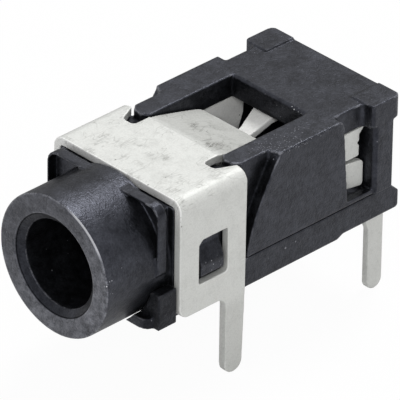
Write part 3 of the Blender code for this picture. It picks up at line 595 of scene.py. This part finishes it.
def scratch_group():
    """Hair-fine scratches in three directions across a sheet, with short curls between them."""
    group, given, result = new_group(
        "fine scratches", {"Vector": None, "Length": 0.0012, "Share": 0.5}, ("Mask",))
    scale = maths(group, "DIVIDE", 1.0, given["Length"])
    place = scaled(group, given["Vector"], scale)
    patches = noise(group, given["Vector"], maths(group, "MULTIPLY", scale, 1.6))
    bare = maths(group, "SUBTRACT", 0.78, maths(group, "MULTIPLY", given["Share"], 0.4))
    masks = []
    for turn_x, turn_z, stretch, width, spread, strength in HAIR_LINES:
        turned = add_node(group, "ShaderNodeMapping", {
            "Vector": place, "Rotation": (turn_x, 0.0, turn_z), "Scale": (stretch, 1.0, stretch)})
        streak = maths(group, "SUBTRACT", noise(group, turned.outputs[0], 1.0, detail=1.0), 0.5)
        from_middle = add_node(group, "ShaderNodeMath", {0: streak}, operation="ABSOLUTE").outputs[0]
        line = ramp(group, from_middle, 0.0, width, 1, 0)
        low = maths(group, "SUBTRACT", bare, spread)
        where = ramp(group, patches, low, maths(group, "ADD", low, 0.2))
        masks.append(maths(group, "MULTIPLY", line, where, strength))
    feed(group, result, {"Mask": maths(group, "MAXIMUM", *masks)})
    return group


def smudge_group():
    """Soft stains of two sizes, as handling leaves on bare metal."""
    group, given, result = new_group("smudges", {"Vector": None, "Size": 0.0008}, ("Mask",))
    scale = maths(group, "DIVIDE", 1.0, given["Size"])
    wide = noise(group, given["Vector"], scale, detail=4.0, roughness=0.6)
    small = noise(group, given["Vector"], maths(group, "MULTIPLY", scale, 5.0), detail=3.0, roughness=0.6)
    wide = maths(group, "MULTIPLY", ramp(group, wide, 0.45, 0.75), 0.55)
    small = maths(group, "MULTIPLY", ramp(group, small, 0.5, 0.72), 0.45)
    feed(group, result, {"Mask": maths(group, "ADD", wide, small)})
    return group


def spot_group():
    """A soft spot about a place on the piece, with a radius for each axis."""
    group, given, result = new_group("spot", {"Vector": None, "Centre": None, "Radii": None}, ("Mask",))
    offset = vector_maths(group, "SUBTRACT", given["Vector"], given["Centre"])
    share = vector_maths(group, "LENGTH", vector_maths(group, "DIVIDE", offset, given["Radii"]))
    feed(group, result, {"Mask": ramp(group, share, 0.5, 1.0, 1.0, 0.0)})
    return group


def block_group():
    """A block with soft sides about a place on the piece, with half its size along each axis."""
    group, given, result = new_group("block", {"Vector": None, "Centre": None, "Half": None}, ("Mask",))
    offset = vector_maths(group, "SUBTRACT", given["Vector"], given["Centre"])
    share = vector_maths(group, "ABSOLUTE", vector_maths(group, "DIVIDE", offset, given["Half"]))
    furthest = maths(group, "MAXIMUM", *axes(group, share))
    feed(group, result, {"Mask": ramp(group, furthest, 0.85, 1.0, 1.0, 0.0)})
    return group


def zone_group():
    """Zones of the housing: its face, front edge and painted glint, and the painted light and shade and the
    wear of each part.
    """
    group, given, result = new_group(
        "housing zones", {"Vector": None}, ("Face", "Edge", "PaintedLight", "FacePaintedLight", "Wear", "Glint"))
    x, y, z = axes(group, given["Vector"])
    offset = vector_maths(group, "SUBTRACT", given["Vector"], MOUTH)
    depth = axes(group, offset)[1]
    across = vector_maths(group, "MULTIPLY", offset, (1.0, 0.0, 1.0))
    radius = vector_maths(group, "LENGTH", across)

    def ring(radii, depths):
        """A ring on the barrel's front: outside these radii and in front of these depths."""
        return maths(group, "MULTIPLY", ramp(group, radius, *radii), ramp(group, depth, *depths, 1, 0))

    # Painted shade on the lining of the bore, and painted light and shade along the barrel's outside.
    # The lining's painted shade has no end at the rear, so it also darkens the rear wall behind the bore
    front = ramp(group, depth, *FACE_DEPTH, 1, 0)
    outside = ramp(group, radius, *FACE_RING)
    lining = ramp(group, depth, *LINING_DEPTH, *LINING_LIGHT)
    lining = dimmed(group, lining, ring(STEP_RING, STEP_DEPTH), STEP_LIGHT)
    lining = blend_value(group, maths(group, "SUBTRACT", 1.0, outside), 1.0, lining)
    barrel = maths(group, "MULTIPLY", ramp(group, depth, *BARREL_END, 1, 0), outside,
                   maths(group, "SUBTRACT", 1.0, front))
    along = ramp(group, depth, *BARREL_FALL, *BARREL_LIGHT, smooth=False)
    along = blend_value(group, barrel, 1.0, along)

    # Painted shade on the sunk web beside the yoke's leg
    slant = maths(group, "SUBTRACT", y, maths(group, "MULTIPLY", z, PANEL_SLANT))
    web = maths(group, "MULTIPLY", ramp(group, x, *WEB_OUTER, 1, 0), ramp(group, x, *WEB_INNER),
                ramp(group, slant, *WEB_FRONT), ramp(group, y, *WEB_REAR, 1, 0),
                ramp(group, z, *WEB_TOP, 1, 0))

    # The painted glint on the front edge, the painted light across the face, and the wear
    turned = vector_maths(group, "DOT_PRODUCT", across, GLINT_DIRECTION)
    glint = maths(group, "MULTIPLY", ring(GLINT_RING, GLINT_DEPTH),
                  ramp(group, turned, *GLINT_REACH, 0.0, GLINT_STRENGTH))
    sideways = maths(group, "SUBTRACT", x, maths(group, "SUBTRACT", z, MOUTH.z))
    wear = maths(group, "MAXIMUM", ramp(group, z, *TOP_BAND, LOW_WEAR, 1.0),
                 ramp(group, y, *FLANGE_FRONT, 1, 0))
    feed(group, result, {
        "Face": maths(group, "MULTIPLY", front, outside),
        "Edge": ring(EDGE_RING, EDGE_DEPTH),
        "PaintedLight": maths(group, "MULTIPLY", dimmed(group, lining, web, WEB_LIGHT), along),
        "FacePaintedLight": ramp(group, sideways, *FACE_REACH, *FACE_PAINTED_LIGHT, smooth=False),
        "Wear": wear,
        "Glint": glint,
    })
    return group


GROUP_MAKERS = {"grain": grain_group, "specks": speck_group, "wear": wear_group, "zones": zone_group,
                "scratches": scratch_group, "smudges": smudge_group, "spot": spot_group,
                "block": block_group}
GROUPS = {}


def effect(tree, name, place, **values):
    """Places a shared group in a tree. The group is built the first time that it is asked for."""
    if name not in GROUPS:
        GROUPS[name] = GROUP_MAKERS[name]()
    return add_node(tree, "ShaderNodeGroup", {"Vector": place, **values}, node_tree=GROUPS[name]).outputs


# Materials

def new_material(name):
    """Returns a new material, its tree, its Principled shader and the place on the piece."""
    material = bpy.data.materials.new(name)
    material.use_nodes = True
    tree = material.node_tree
    shader = tree.nodes["Principled BSDF"]
    place = add_node(tree, "ShaderNodeTexCoord").outputs["Object"]
    return material, tree, shader, place


def rubbed_ridges(tree, place, patch, amount):
    """The piece's own ridges, worn and given a painted highlight, in patches of this size."""
    ridge = add_node(tree, "ShaderNodeAttribute", attribute_type="GEOMETRY", attribute_name=EDGE_ATTRIBUTE)
    return effect(tree, "wear", place, Edge=ridge.outputs["Fac"], Patch=patch, Amount=amount)["Mask"]


def crumbs(tree, place, centre, radii, spacing):
    """Crumbs of loose material that lie thick in one spot."""
    spot = effect(tree, "spot", place, Centre=centre, Radii=radii)["Mask"]
    grit = effect(tree, "specks", place, Spacing=spacing, Share=0.4, Width=0.5)["Mask"]
    return maths(tree, "MULTIPLY", spot, grit)


def raised(tree, height, distance):
    """The surface's normal with this height laid on it."""
    values = {"Height": height, "Strength": 1.0, "Distance": distance}
    return add_node(tree, "ShaderNodeBump", values).outputs[0]


def moulded_plastic(name, settings, wear, scuffs, shades, zoned=False):
    """Black plastic from a textured mould, with dust specks, worn edges with a painted highlight, scuffed
    spots, and painted shade in listed blocks.
    """
    material, tree, shader, place = new_material(name)
    grain = effect(tree, "grain", place, Grain=settings.grain_size)
    tone = ramp(tree, grain["Tone"], *TONE_SPAN, *TONE_COLOUR, smooth=False)
    fleck = ramp(tree, grain["Height"], *GRAIN_SPAN, *GRAIN_COLOUR, smooth=False)
    mottle = maths(tree, "MULTIPLY", tone, fleck)
    plain = scaled(tree, (*settings.colour,), mottle)
    level = maths(tree, "MULTIPLY", ramp(tree, grain["Height"], *GRAIN_SPAN, *GRAIN_SHEEN, smooth=False),
                  ramp(tree, grain["Tone"], *TONE_SPAN, *TONE_SHEEN, smooth=False))
    rough = ramp(tree, grain["Tone"], 0.25, 0.75, settings.roughness - ROUGHNESS_SWING,
                 settings.roughness + ROUGHNESS_SWING)
    # Worn ridges, lighter in colour, partly as a painted highlight
    rubbed_and_lit = rubbed_ridges(tree, place, patch=0.00028, amount=wear)
    # Painted shade on the reflections in the listed blocks, and less wear there
    for centre, half, light_share, wear_share in shades:
        block = effect(tree, "block", place, Centre=centre, Half=half)["Mask"]
        level = dimmed(tree, level, block, light_share)
        rubbed_and_lit = dimmed(tree, rubbed_and_lit, block, wear_share)
    if zoned:
        zones = effect(tree, "zones", place)
        # The ring round the mouth in its lighter colour, with painted light growing towards its lower right
        lighter = scaled(tree, (*settings.face_colour,), maths(tree, "MULTIPLY", mottle, zones["FacePaintedLight"]))
        plain = blend_colour(tree, zones["Face"], plain, lighter)
        # Painted light and shade on the reflections, by place
        level = maths(tree, "MULTIPLY", level, zones["PaintedLight"])
        rough = maths(tree, "SUBTRACT", rough, maths(tree, "MULTIPLY", zones["Edge"], EDGE_POLISH))
        # The painted glint on the front edge joins the worn ridges
        rubbed_and_lit = maths(tree, "MAXIMUM", maths(tree, "MULTIPLY", rubbed_and_lit, zones["Wear"]), zones["Glint"])
    dust = effect(tree, "specks", place, Spacing=0.00022, Share=0.10, Width=0.16)["Mask"]
    mask = maths(tree, "MAXIMUM", maths(tree, "MULTIPLY", dust, DUST_STRENGTH), rubbed_and_lit)
    for centre, radii, spacing, strength in scuffs:
        scuff = maths(tree, "MULTIPLY", crumbs(tree, place, centre, radii, spacing), strength)
        mask = maths(tree, "MAXIMUM", mask, scuff)
    # The strongest crumbs turn pale, partly as a painted glint on them
    pale = ramp(tree, mask, *CRUMB_GLINT_SPAN)
    wear_and_highlight = blend_colour(tree, pale, (*settings.wear_and_highlight_colour, 1), (*settings.crumb_glint_colour, 1))
    mask = maths(tree, "MINIMUM", mask, 1.0)
    feed(tree, shader, {
        "Base Color": blend_colour(tree, mask, plain, wear_and_highlight),
        "Specular IOR Level": level,
        "Specular Tint": (*settings.sheen_colour, 1),
        "Roughness": maths(tree, "ADD", rough, maths(tree, "MULTIPLY", mask, WORN_ROUGHNESS)),
        "Normal": raised(tree, grain["Height"], settings.grain_depth),
    })
    return material


def tin_plate(name, settings, colour, metallic, scratch_share, front=None):
    """Matte tin on sheet metal, with smudges, hair scratches, pits and cleaner bends that also carry a
    painted highlight.

    The yoke gives the place of its front edge, which carries painted light and has burrs. Its tongue is
    duller.
    """
    material, tree, shader, place = new_material(name)
    depth, height = axes(tree, place)[1:]
    smudges = effect(tree, "smudges", place)["Mask"]
    pits = effect(tree, "specks", place, Spacing=0.00028, Share=0.22, Width=0.17)["Mask"]
    scratches = effect(tree, "scratches", place, Share=scratch_share)["Mask"]
    scratches = maths(tree, "MULTIPLY", scratches, ramp(tree, height, *TOP_BAND, LOW_SCRATCHES, 1.0),
                      ramp(tree, depth, TONGUE_ROOT, TONGUE_ROOT + SCRATCH_FADE, *TONGUE_SCRATCHES))
    dull = maths(tree, "MAXIMUM", maths(tree, "MULTIPLY", smudges, SMUDGE_DULLNESS),
                 maths(tree, "MULTIPLY", scratches, SCRATCH_DULLNESS),
                 maths(tree, "MULTIPLY", pits, PIT_DULLNESS))
    frost = noise(tree, place, FROST_SCALE, detail=3.0, roughness=0.6)
    # Frost, and the pins darker and rougher below the seat plane
    dull = maths(tree, "ADD", dull, ramp(tree, frost, 0.35, 0.65, 0.0, FROST_DULLNESS, smooth=False),
                 ramp(tree, height, PIN_TOP, PIN_TOP - PIN_FADE, 0.0, PIN_DARKENING))
    # Worn ridges and bends, cleaner and lighter; the lighter colour is partly a painted highlight
    rubbed_and_lit = rubbed_ridges(tree, place, patch=0.0015, amount=0.6)
    bright = maths(tree, "MULTIPLY", rubbed_and_lit, BEND_WEAR_AND_HIGHLIGHT)
    if front is not None:
        tongue = ramp(tree, depth, TONGUE_ROOT, TONGUE_ROOT + TONGUE_FADE, 0.0, TONGUE_DULLNESS)
        dull = maths(tree, "ADD", dull, tongue)
        for centre, radii in BURRS:
            dull = maths(tree, "MAXIMUM", dull, crumbs(tree, place, centre, radii, BURR_SPACING))
        # Painted light on the cut front edge, fading lower down
        start, end = CUT_DEPTH
        cut = ramp(tree, depth, front + start, front + end, CUT_PAINTED_LIGHT, 0.0)
        cut = maths(tree, "MULTIPLY", cut, ramp(tree, height, *CUT_HEIGHT, LOW_CUT_PAINTED_LIGHT, 1.0))
        bright = maths(tree, "MAXIMUM", bright, cut)
    dull = maths(tree, "SUBTRACT", dull, maths(tree, "MULTIPLY", rubbed_and_lit, RUBBED_SHINE), clamp=True)
    # Plain tin, with the painted light of the cut edge and bends blended in
    clean = blend_colour(tree, bright, (*colour, 1), (*settings.lit_edge_colour, 1))
    peel = maths(tree, "MULTIPLY", noise(tree, place, PEEL_SCALE, detail=3.0), 0.5)
    feed(tree, shader, {
        "Base Color": blend_colour(tree, dull, clean, (*settings.dull_colour, 1)),
        "Roughness": ramp(tree, dull, 0.0, 0.5, settings.roughness - 0.05, settings.roughness + 0.15,
                          smooth=False),
        "Metallic": metallic,
        "Normal": raised(tree, maths(tree, "SUBTRACT", peel, scratches), PEEL_DEPTH),
    })
    return material


def ray_mask(tree):
    """1 for rays from the camera and in reflections, which see the white; 0 for the light itself."""
    path = add_node(tree, "ShaderNodeLightPath").outputs
    return maths(tree, "MAXIMUM", path["Is Camera Ray"], path["Is Glossy Ray"], path["Is Transmission Ray"])


# One operator for each piece or group of like pieces

class SocketHousing(bpy.types.Operator):
    """Make the moulded housing with its barrel, flange, snap ramps and roof window"""

    bl_idname = "jack_socket.housing"
    bl_label = "Moulded Housing"

    def execute(self, context):
        settings = context.scene.jack_moulding
        piece = rounded_copy("housing", "moulded_housing", settings, HOUSING_TRIANGLES)
        plastic = moulded_plastic("housing plastic", settings, wear=0.6, scuffs=HOUSING_SCUFFS,
                                  shades=HOUSING_SHADES, zoned=True)
        settle(piece, "housing", plastic)
        return {"FINISHED"}


class SocketBaseCover(bpy.types.Operator):
    """Make the moulded cover under the socket"""

    bl_idname = "jack_socket.base_cover"
    bl_label = "Base Cover"

    def execute(self, context):
        settings = context.scene.jack_moulding
        piece = rounded_copy("base_cover", "moulded_base", settings, BASE_TRIANGLES)
        plastic = moulded_plastic("base plastic", settings, wear=0.4, scuffs=BASE_SCUFFS,
                                  shades=BASE_SHADES)
        settle(piece, "base_cover", plastic)
        return {"FINISHED"}


class SocketYoke(bpy.types.Operator):
    """Make the folded yoke of tinned sheet with its tongue, legs and pins"""

    bl_idname = "jack_socket.yoke"
    bl_label = "Ground Yoke"

    def execute(self, context):
        settings = context.scene.jack_sheet
        piece = rounded_copy("ground_yoke", "tinned_yoke", settings, YOKE_TRIANGLES)
        front = min(vertex.co.y for vertex in piece.data.vertices)
        tin = tin_plate("yoke tin", settings, settings.colour, settings.metallic, scratch_share=0.6,
                        front=front)
        settle(piece, "ground_yoke", tin)
        return {"FINISHED"}


class SocketContacts(bpy.types.Operator):
    """Make the two stamped contacts with their springs and pins"""

    bl_idname = "jack_socket.contacts"
    bl_label = "Contacts"

    def execute(self, context):
        settings = context.scene.jack_sheet
        # Painted light: both contacts are less metallic than the yoke, and the ring contact's tin is
        # brighter, so they look lit inside the window
        tip_lit_tin = tin_plate("tip contact lit tin", settings, settings.colour, settings.metallic / 2,
                            scratch_share=0.35)
        ring_lit_tin = tin_plate("ring contact lit tin", settings, settings.lit_tin_colour, metallic=0.0,
                             scratch_share=0.35)
        for node, name, tin in (("tip_contact", "tinned_tip_contact", tip_lit_tin),
                                ("ring_contact", "tinned_ring_contact", ring_lit_tin)):
            piece = rounded_copy(node, name, settings, CONTACT_TRIANGLES)
            settle(piece, node, tin)
        return {"FINISHED"}


class SocketStudio(bpy.types.Operator):
    """Set the pale floor, the soft lamps and the camera"""

    bl_idname = "jack_socket.studio"
    bl_label = "Studio"

    def execute(self, context):
        settings = context.scene.jack_studio
        self.lay_floor(settings)
        self.light_sky(context.scene, settings)
        self.hang_lamp("top_lamp", KEY_DIRECTION, settings.key)
        self.hang_lamp("front_lamp", FRONT_DIRECTION, settings.front)
        self.aim_camera(context.scene, settings)
        context.scene.view_settings.view_transform = "Standard"
        return {"FINISHED"}

    def flag(self, tree, towards, settings):
        """How bright reflections see the studio in this direction: 1, less where the dark flag stands."""
        flagged = ramp(tree, vector_maths(tree, "DOT_PRODUCT", towards, FLAG_DIRECTION), *FLAG_EDGE)
        glossy = add_node(tree, "ShaderNodeLightPath").outputs["Is Glossy Ray"]
        flagged = maths(tree, "MULTIPLY", flagged, glossy)
        return ramp(tree, flagged, 0, 1, 1, settings.flag_shade, smooth=False)

    def lay_floor(self, settings):
        """A wide pale floor at the tips of the pins, white to the camera apart from a soft shadow."""
        bpy.ops.object.select_all(action="DESELECT")
        bpy.ops.mesh.primitive_plane_add(size=FLOOR_SIZE, location=(0, 0, FLOOR_Z))
        bpy.ops.object.transform_apply(location=True, rotation=True, scale=True)
        floor = bpy.context.active_object
        floor.name = "studio_floor"
        material, tree, shader, place = new_material("studio floor")
        level = vector_maths(tree, "MULTIPLY", place, (1.0, 1.0, 0.0))
        away = vector_maths(tree, "LENGTH", level)
        towards = scaled(tree, vector_maths(tree, "NORMALIZE", level), ramp(tree, away, *FLAG_START))
        seen = self.flag(tree, towards, settings)
        feed(tree, shader, {"Base Color": scaled(tree, (*settings.floor_colour,), seen),
                            "Roughness": 0.9, "Specular IOR Level": 0.0})
        white = add_node(tree, "ShaderNodeEmission", {"Color": (1, 1, 1, 1), "Strength": seen})
        camera_ray = add_node(tree, "ShaderNodeLightPath").outputs["Is Camera Ray"]
        share = maths(tree, "MAXIMUM", maths(tree, "MULTIPLY", ray_mask(tree), WHITE_IN_REFLECTIONS),
                      maths(tree, "MULTIPLY", camera_ray, WHITE_TO_CAMERA))
        mix = add_node(tree, "ShaderNodeMixShader", {0: share, 1: shader.outputs[0], 2: white.outputs[0]})
        feed(tree, tree.nodes["Material Output"], {"Surface": mix.outputs[0]})
        floor.data.materials.append(material)

    def light_sky(self, scene, settings):
        """Even light from all round, white where it is seen."""
        world = bpy.data.worlds.new("studio sky")
        world.use_nodes = True
        tree = world.node_tree
        light = tree.nodes["Background"]
        feed(tree, light, {"Color": (1, 1, 1, 1), "Strength": settings.sky})
        towards = add_node(tree, "ShaderNodeTexCoord").outputs["Generated"]
        seen = self.flag(tree, towards, settings)
        white = add_node(tree, "ShaderNodeBackground", {"Color": (1, 1, 1, 1), "Strength": seen})
        sides = {0: ray_mask(tree), 1: light.outputs[0], 2: white.outputs[0]}
        mix = add_node(tree, "ShaderNodeMixShader", sides)
        feed(tree, tree.nodes["World Output"], {"Surface": mix.outputs[0]})
        scene.world = world

    def hang_lamp(self, name, direction, level):
        """A large soft lamp that gives a white card facing it this much light."""
        towards = direction.normalized()
        bpy.ops.object.light_add(type="AREA", location=towards * LAMP_DISTANCE)
        lamp = bpy.context.active_object
        lamp.name = name
        lamp.rotation_euler = towards.to_track_quat("Z", "Y").to_euler()
        lamp.data.shape = "DISK"
        lamp.data.size = LAMP_SIZE
        lamp.data.energy = level * math.pi ** 2 * LAMP_DISTANCE ** 2

    def aim_camera(self, scene, settings):
        """Puts the camera where the photograph was taken from."""
        sin_a, cos_a = math.sin(settings.azimuth), math.cos(settings.azimuth)
        sin_e, cos_e = math.sin(settings.elevation), math.cos(settings.elevation)
        back = Vector((sin_a * cos_e, -cos_a * cos_e, sin_e))
        turn = Matrix.Rotation(settings.roll, 3, back)
        right = turn @ Vector((cos_a, sin_a, 0))
        up = back.cross(right)
        place = AIM_START + right * AIM_ACROSS + up * AIM_UP + back * settings.distance
        data = bpy.data.cameras.new("camera")
        data.lens = settings.lens
        data.clip_start = NEAR_CLIP
        camera = bpy.data.objects.new("camera", data)
        camera.matrix_world = Matrix.Translation(place) @ Matrix((right, up, back)).transposed().to_4x4()
        scene.collection.objects.link(camera)
        scene.camera = camera


PIECE_OPERATORS = (SocketHousing, SocketBaseCover, SocketYoke, SocketContacts)


class SocketPanel(bpy.types.Panel):
    """Lists the settings and the steps in order"""

    bl_label = "Jack Socket"
    bl_idname = "VIEW3D_PT_jack_socket"
    bl_space_type = "VIEW_3D"
    bl_region_type = "UI"
    bl_category = "Jack Socket"

    def draw(self, context):
        for settings in (context.scene.jack_moulding, context.scene.jack_sheet, context.scene.jack_studio):
            box = self.layout.box()
            box.label(text=settings.bl_rna.description)
            for key in settings.__annotations__:
                box.prop(settings, key)
        for operator in (*PIECE_OPERATORS, SocketStudio):
            self.layout.operator(operator.bl_idname)


CLASSES = (MouldingSettings, SheetSettings, StudioSettings, *PIECE_OPERATORS, SocketStudio, SocketPanel)


def register():
    for item in CLASSES:
        bpy.utils.register_class(item)
    bpy.types.Scene.jack_moulding = PointerProperty(type=MouldingSettings)
    bpy.types.Scene.jack_sheet = PointerProperty(type=SheetSettings)
    bpy.types.Scene.jack_studio = PointerProperty(type=StudioSettings)


def unregister():
    del bpy.types.Scene.jack_studio
    del bpy.types.Scene.jack_sheet
    del bpy.types.Scene.jack_moulding
    for item in reversed(CLASSES):
        bpy.utils.unregister_class(item)


def main():
    """Makes every piece and the studio."""
    register()
    bpy.ops.jack_socket.housing()
    bpy.ops.jack_socket.base_cover()
    bpy.ops.jack_socket.yoke()
    bpy.ops.jack_socket.contacts()
    bpy.ops.jack_socket.studio()


if __name__ == "__main__":
    main()
